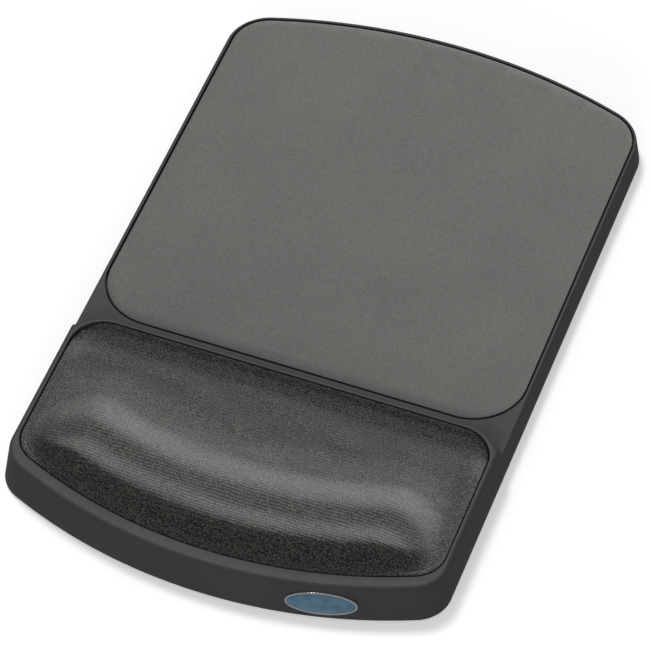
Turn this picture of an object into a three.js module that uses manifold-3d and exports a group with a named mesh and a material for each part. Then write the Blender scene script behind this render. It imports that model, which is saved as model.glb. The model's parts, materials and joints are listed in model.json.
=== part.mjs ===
// Mouse platform with a gel wrist rest: a hard hollow tray carries a low cloth mouse pad at the
// rear and a raised gel cushion at the front. Two fold-out legs under the rear edge tilt it.
// Millimetres, +Z up, +Y towards the mouse pad, +X to the right. The origin is the centre of the
// footprint, on the surface that the rubber feet stand on.
import * as THREE from 'three';
import { mergeVertices } from 'three/addons/utils/BufferGeometryUtils.js';
import Module from 'manifold-3d';

const wasm = await Module();
wasm.setup();

// ---- driving dimensions -------------------------------------------------------------------
const WIDTH = 159;
const LENGTH = 257;
const SKIRT_Z = 0.7; // lower edge of the tray's wall
const DECK_Z = 11.2; // top of the tray around the mouse pad
const RIM_Z = 16.4; // top of the collar around the cushion
const FLANGE_Z = 16.1; // flat hem around the edge of the cushion
const CUSHION_Z = 21.6; // crest of the cushion
const WALL = 2.2;
const FLOOR = 1.8; // thickness of the pad recess floor and of the cushion pan
const GAP = 0.3; // clearance between neighbouring pieces
const LAYER = 0.1; // glue line between stacked sheets

const SIDE_DRAFT = 0.135; // inward lean of the side and rear walls, per mm of height
const FRONT_DRAFT = 0.08; // inward lean of the front face, per mm of height
const EDGE_ROUND = 1.2; // rounding of the tray's top edge at the sides and rear
const FRONT_ROUND = 1.7; // how far the same rounding reaches in at the front

const PAD_RECESS = 2; // depth of the mouse pad recess
const PAD_FRONT = -36.7;
const PAD_LIP = 1.15; // tray edge left standing around the pad
const REST_REAR = -43.3; // rear wall of the cushion opening
const REST_HALF = 75.6;
const REST_CORNER = 12;
const RIM_WIDTH = 1.7;
const COLLAR_LEAN = 1; // how far the foot of the collar stands out from its top
const PAN_Z = 8; // floor that the cushion's carrier stands on

const PLATE_Z = 1.25; // underside of the base plate
const PLATE_THICKNESS = 1.8;
const FOOT_RADIUS = 6;
const FOOT_HEIGHT = 1.5;
const FOOT_POCKET = 0.55;

const LEG_X = 40;
const LEG_PIVOT_Y = 106;
const LEG_PIVOT_Z = 3.9;
const LEG_HALF_WIDTH = 11.8;
const LEG_REACH = 18; // pivot to the end of the leg's plate
const LEG_TIP = 2.2; // length of the rubber tip
const BARREL_RADIUS = 2.2;
const PIN_RADIUS = 1;
const LUG_THICKNESS = 3.2;

const SCREW = { head: 3, headHeight: 1.5, shank: 1.3, slot: 0.7, slotReach: 1.7, slotHalf: 0.35 };
const BASE_SCREW_LENGTH = 5.3;
const CARRIER_SCREW_LENGTH = 6;
const EDGE_BREAK = 0.4; // small chamfer on screw heads and feet

// The badge is a silver oval dish with a domed lens in it. Heights are from the front face.
const BADGE = { x: 41.5, z: 8, halfWidth: 12.2, halfHeight: 5.4, rim: 0.9, back: -1, face: 0.45, floor: 0.6 };

// ---- materials ----------------------------------------------------------------------------
function plastic(color, roughness) {
  return new THREE.MeshStandardMaterial({ color, roughness, metalness: 0 });
}

const trayPlastic = () => plastic(0x38363b, 0.45);
const platePlastic = () => plastic(0x2b2a2d, 0.6);
const darkPlastic = () => plastic(0x232325, 0.55);
const softRubber = () => plastic(0x1c1c1d, 0.9);
const padFabric = () => plastic(0x6a6a66, 0.95);
const restFabric = () => plastic(0x45453f, 0.8);
const steel = () => new THREE.MeshStandardMaterial({ color: 0xa8a8a6, roughness: 0.35, metalness: 1 });
const silver = () => new THREE.MeshStandardMaterial({ color: 0xb9bcc0, roughness: 0.25, metalness: 1 });
const gelTone = () => plastic(0x5f6f78, 0.3);
const lensBlue = () => plastic(0x3d5f75, 0.12);

// ---- solids -------------------------------------------------------------------------------
function toSolid(geometry) {
  const bare = geometry.clone();
  bare.deleteAttribute('normal');
  bare.deleteAttribute('uv');
  const merged = mergeVertices(bare, 1e-4);
  const mesh = new wasm.Mesh({
    numProp: 3,
    vertProperties: new Float32Array(merged.attributes.position.array),
    triVerts: new Uint32Array(merged.index.array),
  });
  return new wasm.Manifold(mesh);
}

function toGeometry(solid) {
  const mesh = solid.getMesh();
  const geometry = new THREE.BufferGeometry();
  geometry.setAttribute('position', new THREE.BufferAttribute(new Float32Array(mesh.vertProperties), 3));
  geometry.setIndex(new THREE.BufferAttribute(new Uint32Array(mesh.triVerts), 1));
  geometry.computeVertexNormals();
  return geometry;
}

function extrude(shape, depth, z, options = {}) {
  const plain = { depth, bevelEnabled: false, curveSegments: 1 };
  return new THREE.ExtrudeGeometry(shape, { ...plain, ...options }).translate(0, 0, z);
}

function box(x0, x1, y0, y1, z0, z1) {
  const geometry = new THREE.BoxGeometry(x1 - x0, y1 - y0, z1 - z0);
  return toSolid(geometry.translate((x0 + x1) / 2, (y0 + y1) / 2, (z0 + z1) / 2));
}

function disc(radius, x, y, z0, z1, segments = 16) {
  const geometry = new THREE.CylinderGeometry(radius, radius, z1 - z0, segments);
  return toSolid(geometry.rotateX(Math.PI / 2).translate(x, y, (z0 + z1) / 2));
}

function bar(radius, halfLength, x, y, z, segments = 16) {
  const geometry = new THREE.CylinderGeometry(radius, radius, 2 * halfLength, segments);
  return toSolid(geometry.rotateZ(Math.PI / 2).translate(x, y, z));
}

// ---- outlines -----------------------------------------------------------------------------
// Every outline is two parallel sides joined by a bowed rear edge and a bowed front edge.
// A bow with radius Infinity is a straight edge.
const TRAY = {
  half: WIDTH / 2,
  rear: LENGTH / 2,
  rearBow: 213.3,
  rearCorner: 17,
  front: -LENGTH / 2,
  frontBow: 178.8,
  frontCorner: 13,
};
const PAD_HALF = WIDTH / 2 - SIDE_DRAFT * (DECK_Z - SKIRT_Z) - PAD_LIP;
const PAD = {
  half: PAD_HALF,
  rear: LENGTH / 2 - SIDE_DRAFT * (DECK_Z - SKIRT_Z) - PAD_LIP,
  rearBow: 210.5,
  rearCorner: 15,
  front: PAD_FRONT,
  frontBow: Infinity,
  frontCorner: 20,
};
const REST = {
  half: REST_HALF,
  rear: REST_REAR,
  rearBow: Infinity,
  rearCorner: REST_CORNER,
  front: -122,
  frontBow: 170.3,
  frontCorner: REST_CORNER,
};

function inset(outline, distance) {
  return {
    half: outline.half - distance,
    rear: outline.rear - distance,
    rearBow: outline.rearBow - distance,
    rearCorner: outline.rearCorner - distance,
    front: outline.front + distance,
    frontBow: outline.frontBow - distance,
    frontCorner: outline.frontCorner - distance,
  };
}

// The points of one bowed edge with its two rounded corners, from x = +half to x = -half.
function bowedEdge(half, apex, bow, corner, cornerSteps, bowSteps) {
  const points = [];
  const reach = half - corner;
  const straight = bow === Infinity;
  const centreY = straight ? 0 : apex - bow;
  const cornerY = straight ? apex - corner : centreY + Math.sqrt((bow - corner) ** 2 - reach ** 2);
  const turn = straight ? Math.PI / 2 : Math.atan2(cornerY - centreY, reach);
  for (let i = 0; i <= cornerSteps; i += 1) {
    const angle = (turn * i) / cornerSteps;
    points.push([reach + corner * Math.cos(angle), cornerY + corner * Math.sin(angle)]);
  }
  const steps = straight ? 1 : bowSteps;
  for (let i = 1; i < steps; i += 1) {
    const angle = turn + ((Math.PI - 2 * turn) * i) / steps;
    points.push([bow * Math.cos(angle), centreY + bow * Math.sin(angle)]);
  }
  for (let i = cornerSteps; i >= 0; i -= 1) {
    const angle = (turn * i) / cornerSteps;
    points.push([-reach - corner * Math.cos(angle), cornerY + corner * Math.sin(angle)]);
  }
  return points;
}

function outlinePoints(outline, cornerSteps = 6, bowSteps = 14) {
  const { half, rear, rearBow, rearCorner, front, frontBow, frontCorner } = outline;
  const rearEdge = bowedEdge(half, rear, rearBow, rearCorner, cornerSteps, bowSteps);
  const frontEdge = bowedEdge(half, -front, frontBow, frontCorner, cornerSteps, bowSteps);
  return [...rearEdge, ...frontEdge.map(([x, y]) => [-x, -y])].map(([x, y]) => new THREE.Vector2(x, y));
}

function outlineShape(outline, cornerSteps, bowSteps) {
  return new THREE.Shape(outlinePoints(outline, cornerSteps, bowSteps));
}

function slab(outline, z0, z1) {
  return toSolid(extrude(outlineShape(outline), z1 - z0, z0));
}

// A block whose outline shrinks towards its own middle at each level: side and rear by one
// amount, front by another.
function draftedBlock(outline, levels) {
  const steps = levels.length - 1;
  const geometry = extrude(outlineShape(outline), steps, 0, { steps });
  const position = geometry.attributes.position;
  const length = outline.rear - outline.front;
  for (let i = 0; i < position.count; i += 1) {
    const level = levels[Math.round(position.getZ(i))];
    const across = (outline.half - level.side) / outline.half;
    const along = (length - level.side - level.front) / length;
    const y = outline.front + level.front + (position.getY(i) - outline.front) * along;
    position.setXYZ(i, position.getX(i) * across, y, level.z);
  }
  return toSolid(geometry);
}

// The walls' inset at one height, with a share (0 to 1) of the top edge's rounding.
function wallLevel(z, round = 0) {
  return {
    z,
    side: SIDE_DRAFT * (z - SKIRT_Z) + EDGE_ROUND * round,
    front: FRONT_DRAFT * (z - SKIRT_Z) + FRONT_ROUND * round,
  };
}

// ---- cushion surface ----------------------------------------------------------------------
const { smoothstep } = THREE.MathUtils;
const CREST = CUSHION_Z - FLANGE_Z;
const SCOOP = 1.6; // how far the middle of the cushion lies below its hem
const HEM = 2.4; // width of the flat hem
const SHOULDER = 9.5; // where the pillow has risen to its full height along its front
const END_STEP = 0.4; // share of that height reached within the shoulder's width of an end
const END_REACH = 24; // where the full height is reached, from an end
const REAR_DIP = 0.9; // how far the hem sinks along its rear edge
const CHANNEL = 1.3; // how far the channel lies below the ridge along the front edge
const BEND = 24; // the ridges turn towards the front corners this close to the ends

function frontEdgeY(x) {
  return REST.front + REST.frontBow - Math.sqrt(REST.frontBow ** 2 - x ** 2);
}

// Height of the knitted top: a flat hem all round, then a pillow with a ridge along its bowed
// front edge, a channel behind it, and a fall into a shallow scoop for the heel of the hand.
// The depth is the distance inside the cushion's outline.
function cushionHeight(x, y, depth) {
  const fromFront = y - frontEdgeY(x);
  const fromSide = REST.half - Math.abs(x);
  const along = fromFront + BEND * Math.max(0, 1 - fromSide / BEND) ** 1.7;
  const channel = CHANNEL * smoothstep(along, 10.5, 19.5);
  const fall = 0.55 * smoothstep(along, 24.5, 41) + 0.45 * smoothstep(along, 24.5, 54);
  const nearEnd = END_STEP * smoothstep(fromSide, HEM, SHOULDER);
  const end = nearEnd + (1 - END_STEP) * smoothstep(fromSide, HEM + 2, END_REACH);
  const pillow = (CREST - channel) * (1 - fall) * end - SCOOP * fall;
  const rise = smoothstep(depth, HEM, SHOULDER);
  const fromRear = REST.rear - y;
  const dip = REAR_DIP * smoothstep(fromRear, GAP, HEM + 1) * (1 - smoothstep(fromRear, 8, 20));
  return FLANGE_Z + rise * pillow - (1 - rise) * dip;
}

// The points of one ring at an inset from the cushion opening. Every ring has equally many.
const RING_STEP = 8;

function ringPoints(distance) {
  const edge = outlinePoints(REST, 4, 14);
  const ring = outlinePoints(inset(REST, distance), 4, 14);
  return ring.flatMap((point, i) => {
    const next = (i + 1) % ring.length;
    const parts = Math.max(1, Math.ceil(edge[i].distanceTo(edge[next]) / RING_STEP));
    return Array.from({ length: parts }, (_, k) => point.clone().lerp(ring[next], k / parts));
  });
}

// A closed body under the cushion surface, lowered by a drop, with a flat bottom. Its rings
// beyond the hem are shared by all such bodies, so that their tops are exact offsets.
const SHARED_INSETS = [HEM, 4.2, 6, 8];
const INNERMOST = SHOULDER + 0.5; // rings further in shrink towards the middle instead
const INNER_SHARES = [1, 0.9, 0.8, 0.7, 0.6, 0.5, 0.4, 0.3, 0.18];

function cushionBody(distance, drop, bottomZ) {
  const centre = new THREE.Vector2(0, (REST.rear + REST.front) / 2);
  const outer = ringPoints(distance);
  const innermost = ringPoints(INNERMOST);
  const count = outer.length;
  const positions = [];
  const addTop = (point, depth) => {
    positions.push(point.x, point.y, cushionHeight(point.x, point.y, depth) - drop);
  };
  outer.forEach((point) => addTop(point, distance));
  SHARED_INSETS.forEach((depth) => ringPoints(depth).forEach((point) => addTop(point, depth)));
  INNER_SHARES.forEach((share) => {
    innermost.forEach((point) => addTop(centre.clone().lerp(point, share), INNERMOST));
  });
  addTop(centre, INNERMOST);
  outer.forEach((point) => positions.push(point.x, point.y, bottomZ));
  positions.push(centre.x, centre.y, bottomZ);

  const topCentre = (1 + SHARED_INSETS.length + INNER_SHARES.length) * count;
  const bottomRing = topCentre + 1;
  const bottomCentre = bottomRing + count;
  const lastRing = topCentre - count;
  const indices = [];
  for (let i = 0; i < count; i += 1) {
    const next = (i + 1) % count;
    for (let start = 0; start < lastRing; start += count) {
      indices.push(start + i, start + next, start + count + i);
      indices.push(start + next, start + count + next, start + count + i);
    }
    indices.push(lastRing + i, lastRing + next, topCentre);
    indices.push(next, i, bottomRing + i, next, bottomRing + i, bottomRing + next);
    indices.push(bottomRing + next, bottomRing + i, bottomCentre);
  }
  const geometry = new THREE.BufferGeometry();
  geometry.setAttribute('position', new THREE.Float32BufferAttribute(positions, 3));
  geometry.setIndex(indices);
  return toSolid(geometry);
}

// ---- places of repeated pieces ------------------------------------------------------------
const SIDES = [
  { name: 'left', sign: -1 },
  { name: 'right', sign: 1 },
];
const BASE_SCREWS = [
  { row: 'rear', x: 66, y: 80 },
  { row: 'middle', x: 66, y: -14 },
  { row: 'front', x: 40, y: -108 },
];
const CARRIER_SCREWS = [
  { row: 'rear', x: 50, y: -60 },
  { row: 'front', x: 50, y: -96 },
];
const FEET = [
  { name: 'foot_rear_left', x: -66, y: 106 },
  { name: 'foot_rear_right', x: 66, y: 106 },
  { name: 'foot_middle', x: 0, y: -8 },
  { name: 'foot_front_left', x: -60, y: -98 },
  { name: 'foot_front_right', x: 60, y: -98 },
];
const mirrored = (places) => places.flatMap((place) => SIDES.map((side) => ({
  ...place, x: place.x * side.sign, label: `${place.row}_${side.name}`,
})));
const baseScrewPlaces = mirrored(BASE_SCREWS);
const carrierScrewPlaces = mirrored(CARRIER_SCREWS);

// ---- badge frame --------------------------------------------------------------------------
// The badge stands square to the leaning, bowed front face.
const badgeFrame = new THREE.Group();
{
  const lean = FRONT_DRAFT * (BADGE.z - SKIRT_Z);
  const bow = TRAY.frontBow - lean;
  const turn = Math.asin(BADGE.x / bow);
  badgeFrame.position.set(BADGE.x, TRAY.front + lean + bow - bow * Math.cos(turn), BADGE.z);
  badgeFrame.rotation.set(Math.PI / 2 - Math.atan(FRONT_DRAFT), 0, turn, 'ZXY');
  badgeFrame.updateMatrix();
}

function ovalShape(halfWidth, halfHeight) {
  const shape = new THREE.Shape();
  shape.absellipse(0, 0, halfWidth, halfHeight, 0, 2 * Math.PI, false, 0);
  return new THREE.Shape(shape.getPoints(32).slice(0, -1));
}

// ---- tray ---------------------------------------------------------------------------------
const DECK_UNDER = DECK_Z - PAD_RECESS - FLOOR;
const PAN_UNDER = PAN_Z - FLOOR;
const RIDGE_Y = (PAD_FRONT + REST_REAR) / 2;

const ARC_STEPS = 3;
const ARC_SWEEP = 0.95 * (Math.PI / 2); // stops short of level, where the flat top begins

function trayBlock() {
  const roundFrom = RIM_Z - EDGE_ROUND;
  const levels = [wallLevel(SKIRT_Z), wallLevel(roundFrom)];
  for (let i = 1; i <= ARC_STEPS; i += 1) {
    const angle = (ARC_SWEEP * i) / ARC_STEPS;
    levels.push(wallLevel(roundFrom + EDGE_ROUND * Math.sin(angle), 1 - Math.cos(angle)));
  }
  return draftedBlock(TRAY, levels);
}

const COLLAR = {
  half: WIDTH / 2 - 0.5,
  rear: REST_REAR + RIM_WIDTH,
  rearBow: Infinity,
  rearCorner: 15,
  front: -110,
  frontBow: Infinity,
  frontCorner: 10,
};

function collarBlock() {
  return draftedBlock(COLLAR, [
    { z: DECK_Z - 1, side: -COLLAR_LEAN, front: 0 },
    { z: RIM_Z + 1, side: 0, front: 0 },
  ]);
}

function trayCavity() {
  const hollow = draftedBlock(inset(TRAY, WALL), [wallLevel(SKIRT_Z - 1), wallLevel(DECK_UNDER)]);
  const panBelly = box(-WIDTH, WIDTH, -LENGTH, RIDGE_Y + WALL, PAN_UNDER, DECK_Z);
  return hollow.subtract(panBelly);
}

const BOSS_RADIUS = 3.5;
const BOSS_FOOT_Z = 4.9;
const BORE_TOP_Z = 7.1;
const MERGE = 0.5; // how far a rib or a boss runs into the wall that it grows from
const RIB = { half: 0.7, foot: 3.6, reach: 74, rearEnd: 112, frontEnd: -118 };
const RIBS_ALONG_X = [-20, 20];
const RIBS_ACROSS_Y = [12, 58];
const PAN_RIB_Y = -78;

function trayRibs() {
  const rearTop = DECK_UNDER + MERGE;
  const frontTop = PAN_UNDER + MERGE;
  const along = (x, y0, y1, top) => box(x - RIB.half, x + RIB.half, y0, y1, RIB.foot, top);
  const across = (y, top) => box(-RIB.reach, RIB.reach, y - RIB.half, y + RIB.half, RIB.foot, top);
  return [
    ...RIBS_ALONG_X.map((x) => along(x, RIDGE_Y, RIB.rearEnd, rearTop)),
    ...RIBS_ACROSS_Y.map((y) => across(y, rearTop)),
    across(PAN_RIB_Y, frontTop),
    along(0, RIB.frontEnd, RIDGE_Y, frontTop),
  ];
}

function trayShell() {
  const aboveDeck = box(-WIDTH, WIDTH, -60, LENGTH, DECK_Z, RIM_Z + 5).subtract(collarBlock());
  let solid = trayBlock()
    .subtract(aboveDeck)
    .subtract(slab(PAD, DECK_Z - PAD_RECESS, DECK_Z + 1))
    .subtract(slab(REST, PAN_Z, RIM_Z + 1))
    .subtract(trayCavity());
  trayRibs().forEach((rib) => {
    solid = solid.add(rib);
  });
  baseScrewPlaces.forEach(({ x, y }) => {
    const ceiling = y > RIDGE_Y ? DECK_UNDER : PAN_UNDER;
    solid = solid
      .add(disc(BOSS_RADIUS, x, y, BOSS_FOOT_Z, ceiling + MERGE))
      .subtract(disc(SCREW.shank + GAP, x, y, BOSS_FOOT_Z - 1, BORE_TOP_Z));
  });
  carrierScrewPlaces.forEach(({ x, y }) => {
    solid = solid.subtract(disc(SCREW.shank + GAP, x, y, PAN_UNDER - 1, PAN_Z + 1));
  });
  const pocket = ovalShape(BADGE.halfWidth + GAP, BADGE.halfHeight + GAP);
  const pocketDepth = GAP - BADGE.back;
  const cutter = extrude(pocket, 2 * pocketDepth, -pocketDepth).applyMatrix4(badgeFrame.matrix);
  return solid.subtract(toSolid(cutter));
}

// ---- base plate ---------------------------------------------------------------------------
const PLATE_TOP = PLATE_Z + PLATE_THICKNESS;
const WELL = { front: -21.5, rear: 2.6, halfWidth: LEG_HALF_WIDTH + 0.5 }; // about the leg's pivot
const FINGER_NOTCH = 6;
const LUG_INNER = LEG_HALF_WIDTH + 0.7;
const LUG = { inner: LUG_INNER, outer: LUG_INNER + LUG_THICKNESS, half: 3.2, top: 6.6 };
const SCREW_CUP = { radius: 4.8, bore: 3.4, ceiling: 3.3, top: 4.6 };
const THROUGH = 9; // a cut to this height goes right through the plate and all that stands on it

function basePlate() {
  const outline = inset(TRAY, WALL + GAP + SIDE_DRAFT * (PLATE_TOP - SKIRT_Z));
  let solid = slab(outline, PLATE_Z, PLATE_TOP);
  SIDES.forEach(({ sign }) => {
    const x = sign * LEG_X;
    const wellFront = LEG_PIVOT_Y + WELL.front;
    const wellRear = LEG_PIVOT_Y + WELL.rear;
    const well = box(x - WELL.halfWidth, x + WELL.halfWidth, wellFront, wellRear, 0, THROUGH);
    const fingerNotch = disc(FINGER_NOTCH, x, wellFront, 0, THROUGH);
    solid = solid.subtract(well).subtract(fingerNotch);
    [-1, 1].forEach((end) => {
      const near = x + end * LUG.inner;
      const far = x + end * LUG.outer;
      const lug = box(
        Math.min(near, far), Math.max(near, far),
        LEG_PIVOT_Y - LUG.half, LEG_PIVOT_Y + LUG.half,
        PLATE_TOP - MERGE, LUG.top,
      );
      solid = solid.add(lug);
    });
    solid = solid.subtract(bar(PIN_RADIUS + GAP, LUG.outer + 1, x, LEG_PIVOT_Y, LEG_PIVOT_Z));
  });
  baseScrewPlaces.forEach(({ x, y }) => {
    solid = solid
      .add(disc(SCREW_CUP.radius, x, y, PLATE_TOP - MERGE, SCREW_CUP.top))
      .subtract(disc(SCREW_CUP.bore, x, y, 0, SCREW_CUP.ceiling))
      .subtract(disc(SCREW.shank + GAP, x, y, 0, THROUGH));
  });
  FEET.forEach(({ x, y }) => {
    solid = solid.subtract(disc(FOOT_RADIUS + GAP, x, y, 0, PLATE_Z + FOOT_POCKET, 28));
  });
  return solid;
}

// ---- turned pieces ------------------------------------------------------------------------
function turned(profile, segments) {
  const points = profile.map(([radius, height]) => new THREE.Vector2(radius, height));
  return new THREE.LatheGeometry(points, segments).rotateX(Math.PI / 2);
}

// A pan-head screw standing head down, with a cross recess in its head.
function screw(length) {
  const { head, headHeight, shank, slot, slotReach, slotHalf } = SCREW;
  const body = toSolid(turned([
    [0, 0], [head - EDGE_BREAK, 0], [head, EDGE_BREAK], [head, headHeight],
    [shank, headHeight], [shank, length - shank], [0, length],
  ], 16));
  return body
    .subtract(box(-slotReach, slotReach, -slotHalf, slotHalf, -1, slot))
    .subtract(box(-slotHalf, slotHalf, -slotReach, slotReach, -1, slot));
}

function rubberFoot() {
  return toSolid(turned([
    [0, 0], [FOOT_RADIUS - EDGE_BREAK, 0], [FOOT_RADIUS, EDGE_BREAK],
    [FOOT_RADIUS, FOOT_HEIGHT], [0, FOOT_HEIGHT],
  ], 28));
}

// ---- fold-out leg, about its pivot --------------------------------------------------------
const LEG_PLATE_TOP = 0.4;
const LEG_CORNER = 3;
const FINGER_PLATE = 1.2; // plate left under the hollow of a leg
const HOLLOW = { halfWidth: 6.5, front: 6 - LEG_REACH, rear: -BARREL_RADIUS - 2.5 };

function leg() {
  const plateFoot = -BARREL_RADIUS;
  const corner = LEG_CORNER;
  const outline = new THREE.Shape();
  outline.moveTo(-LEG_HALF_WIDTH, 0);
  outline.lineTo(-LEG_HALF_WIDTH, corner - LEG_REACH);
  outline.quadraticCurveTo(-LEG_HALF_WIDTH, -LEG_REACH, corner - LEG_HALF_WIDTH, -LEG_REACH);
  outline.lineTo(LEG_HALF_WIDTH - corner, -LEG_REACH);
  outline.quadraticCurveTo(LEG_HALF_WIDTH, -LEG_REACH, LEG_HALF_WIDTH, corner - LEG_REACH);
  outline.lineTo(LEG_HALF_WIDTH, 0);
  const plate = toSolid(extrude(outline, LEG_PLATE_TOP - plateFoot, plateFoot, { curveSegments: 4 }));
  const hollowFoot = plateFoot + FINGER_PLATE;
  const hollow = box(-HOLLOW.halfWidth, HOLLOW.halfWidth, HOLLOW.front, HOLLOW.rear, hollowFoot, THROUGH);
  return plate
    .add(bar(BARREL_RADIUS, LEG_HALF_WIDTH, 0, 0, 0, 24))
    .subtract(hollow)
    .subtract(bar(PIN_RADIUS + GAP, LEG_HALF_WIDTH + 1, 0, 0, 0));
}

const TIP = { halfWidth: LEG_HALF_WIDTH - LEG_CORNER - 0.2, foot: 0.2 - BARREL_RADIUS, top: 0.2 };

function legTip() {
  const front = -LEG_REACH - GAP;
  return box(-TIP.halfWidth, TIP.halfWidth, front - LEG_TIP, front, TIP.foot, TIP.top);
}

// ---- assembly -----------------------------------------------------------------------------
const platform = new THREE.Group();

function addPiece(parent, name, solid, material, x = 0, y = 0, z = 0) {
  const mesh = new THREE.Mesh(toGeometry(solid), material);
  mesh.name = name;
  mesh.position.set(x, y, z);
  parent.add(mesh);
}

addPiece(platform, 'tray_shell', trayShell(), trayPlastic());
addPiece(platform, 'base_plate', basePlate(), platePlastic());

const padOutline = inset(PAD, GAP);
const padFloor = DECK_Z - PAD_RECESS + LAYER;
const PAD_BACKING = 1.1;
const PAD_CLOTH = 0.6;
const clothFloor = padFloor + PAD_BACKING + LAYER;
addPiece(platform, 'mouse_pad_backing', slab(padOutline, padFloor, padFloor + PAD_BACKING), softRubber());
addPiece(platform, 'mouse_pad_cloth', slab(padOutline, clothFloor, clothFloor + PAD_CLOTH), padFabric());

const COVER = 0.8;
const CARRIER = 3.2;
const CARRIER_SKIN = 0.6; // plastic left over each blind screw hole
const coverFoot = PAN_Z + GAP;
const coreInset = 2 * GAP + COVER;
const cover = cushionBody(GAP, 0, coverFoot)
  .subtract(cushionBody(GAP + COVER, COVER, coverFoot - 1));
const gel = cushionBody(coreInset, COVER + GAP, coverFoot + CARRIER + GAP);
const holeTop = coverFoot + CARRIER - CARRIER_SKIN;
let carrier = slab(inset(REST, coreInset), coverFoot, coverFoot + CARRIER);
carrierScrewPlaces.forEach(({ x, y }) => {
  carrier = carrier.subtract(disc(SCREW.shank + GAP, x, y, coverFoot - 1, holeTop));
});
addPiece(platform, 'cushion_cover', cover, restFabric());
addPiece(platform, 'cushion_gel', gel, gelTone());
addPiece(platform, 'cushion_carrier', carrier, darkPlastic());

const baseScrewHead = PLATE_Z + GAP;
const carrierScrewHead = PAN_UNDER - GAP - SCREW.headHeight;
baseScrewPlaces.forEach(({ label, x, y }) => {
  addPiece(platform, `base_screw_${label}`, screw(BASE_SCREW_LENGTH), steel(), x, y, baseScrewHead);
});
carrierScrewPlaces.forEach(({ label, x, y }) => {
  addPiece(platform, `carrier_screw_${label}`, screw(CARRIER_SCREW_LENGTH), steel(), x, y, carrierScrewHead);
});
FEET.forEach(({ name, x, y }) => {
  addPiece(platform, name, rubberFoot(), softRubber(), x, y, 0);
});

SIDES.forEach(({ name, sign }) => {
  const pivot = new THREE.Group();
  pivot.position.set(sign * LEG_X, LEG_PIVOT_Y, LEG_PIVOT_Z);
  addPiece(pivot, `${name}_leg`, leg(), darkPlastic());
  addPiece(pivot, `${name}_leg_tip`, legTip(), softRubber());
  addPiece(pivot, `${name}_leg_pin`, bar(PIN_RADIUS, LUG.outer - 0.2, 0, 0, 0), steel());
  platform.add(pivot);
});

const bezelOuter = ovalShape(BADGE.halfWidth, BADGE.halfHeight);
const bezelInner = ovalShape(BADGE.halfWidth - BADGE.rim, BADGE.halfHeight - BADGE.rim);
const badgeFloor = BADGE.back + BADGE.floor;
const bezel = toSolid(extrude(bezelOuter, BADGE.face - BADGE.back, BADGE.back))
  .subtract(toSolid(extrude(bezelInner, 2, badgeFloor)));
const lensHalfWidth = BADGE.halfWidth - BADGE.rim - GAP;
const lensHalfHeight = BADGE.halfHeight - BADGE.rim - GAP;
// Radius as a share of the lens, and height in millimetres, from its back to its dome.
const lensProfile = [[0, 0], [1, 0], [1, 0.4], [0.92, 0.62], [0.72, 0.85], [0.4, 1], [0, 1.06]];
const lens = toSolid(turned(lensProfile, 32)
  .scale(lensHalfWidth, lensHalfHeight, 1)
  .translate(0, 0, badgeFloor + GAP));
addPiece(badgeFrame, 'badge_bezel', bezel, silver());
addPiece(badgeFrame, 'badge_lens', lens, lensBlue());
platform.add(badgeFrame);

export default platform;
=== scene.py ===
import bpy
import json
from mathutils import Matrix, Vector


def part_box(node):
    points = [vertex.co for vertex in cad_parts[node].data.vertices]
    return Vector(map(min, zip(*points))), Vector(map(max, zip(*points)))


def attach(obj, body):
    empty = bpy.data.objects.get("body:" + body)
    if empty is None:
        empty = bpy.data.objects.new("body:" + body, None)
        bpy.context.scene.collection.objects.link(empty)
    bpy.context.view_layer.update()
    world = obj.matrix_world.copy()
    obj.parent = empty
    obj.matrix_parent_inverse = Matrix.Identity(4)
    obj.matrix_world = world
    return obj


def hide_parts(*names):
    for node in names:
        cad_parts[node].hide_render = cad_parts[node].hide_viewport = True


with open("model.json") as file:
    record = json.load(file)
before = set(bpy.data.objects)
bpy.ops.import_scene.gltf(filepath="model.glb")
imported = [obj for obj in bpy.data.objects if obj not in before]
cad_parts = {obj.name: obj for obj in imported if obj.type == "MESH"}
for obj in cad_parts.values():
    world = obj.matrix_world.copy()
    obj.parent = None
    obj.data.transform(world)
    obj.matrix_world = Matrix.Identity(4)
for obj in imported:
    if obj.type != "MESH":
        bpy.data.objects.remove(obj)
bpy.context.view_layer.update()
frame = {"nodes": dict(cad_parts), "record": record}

import json
import math

import bmesh
import bpy
import numpy as np
from mathutils import Matrix, Vector, noise
from mathutils.geometry import delaunay_2d_cdt

# Shapes are worked out in millimetres and turned into metres when a mesh is made.
MM = 0.001


def node_box(node):
    low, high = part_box(node)
    return np.array(low) / MM, np.array(high) / MM


# ---- sizes, from the frame ----------------------------------------------------------------
TRAY_LOW, TRAY_HIGH = node_box("tray_shell")
CLOTH_LOW, CLOTH_HIGH = node_box("mouse_pad_cloth")
BACKING_LOW, BACKING_HIGH = node_box("mouse_pad_backing")
COVER_LOW, COVER_HIGH = node_box("cushion_cover")

SKIRT_Z = TRAY_LOW[2]
RIM_Z = TRAY_HIGH[2]
DECK_Z = CLOTH_HIGH[2] + 0.1  # the tray's top round the mouse pad
CREST_Z = COVER_HIGH[2]
HALF = TRAY_HIGH[0]
REAR = TRAY_HIGH[1]
FRONT = TRAY_LOW[1]

SIDE_DRAFT = 0.135  # inward lean of the side and rear walls, per millimetre of height
FRONT_DRAFT = 0.08
WALL = 2.2
GAP = 0.3  # between a recess and what lies in it
PAD_LIP = 1.15  # from the tray's top edge to the pad's recess


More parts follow.
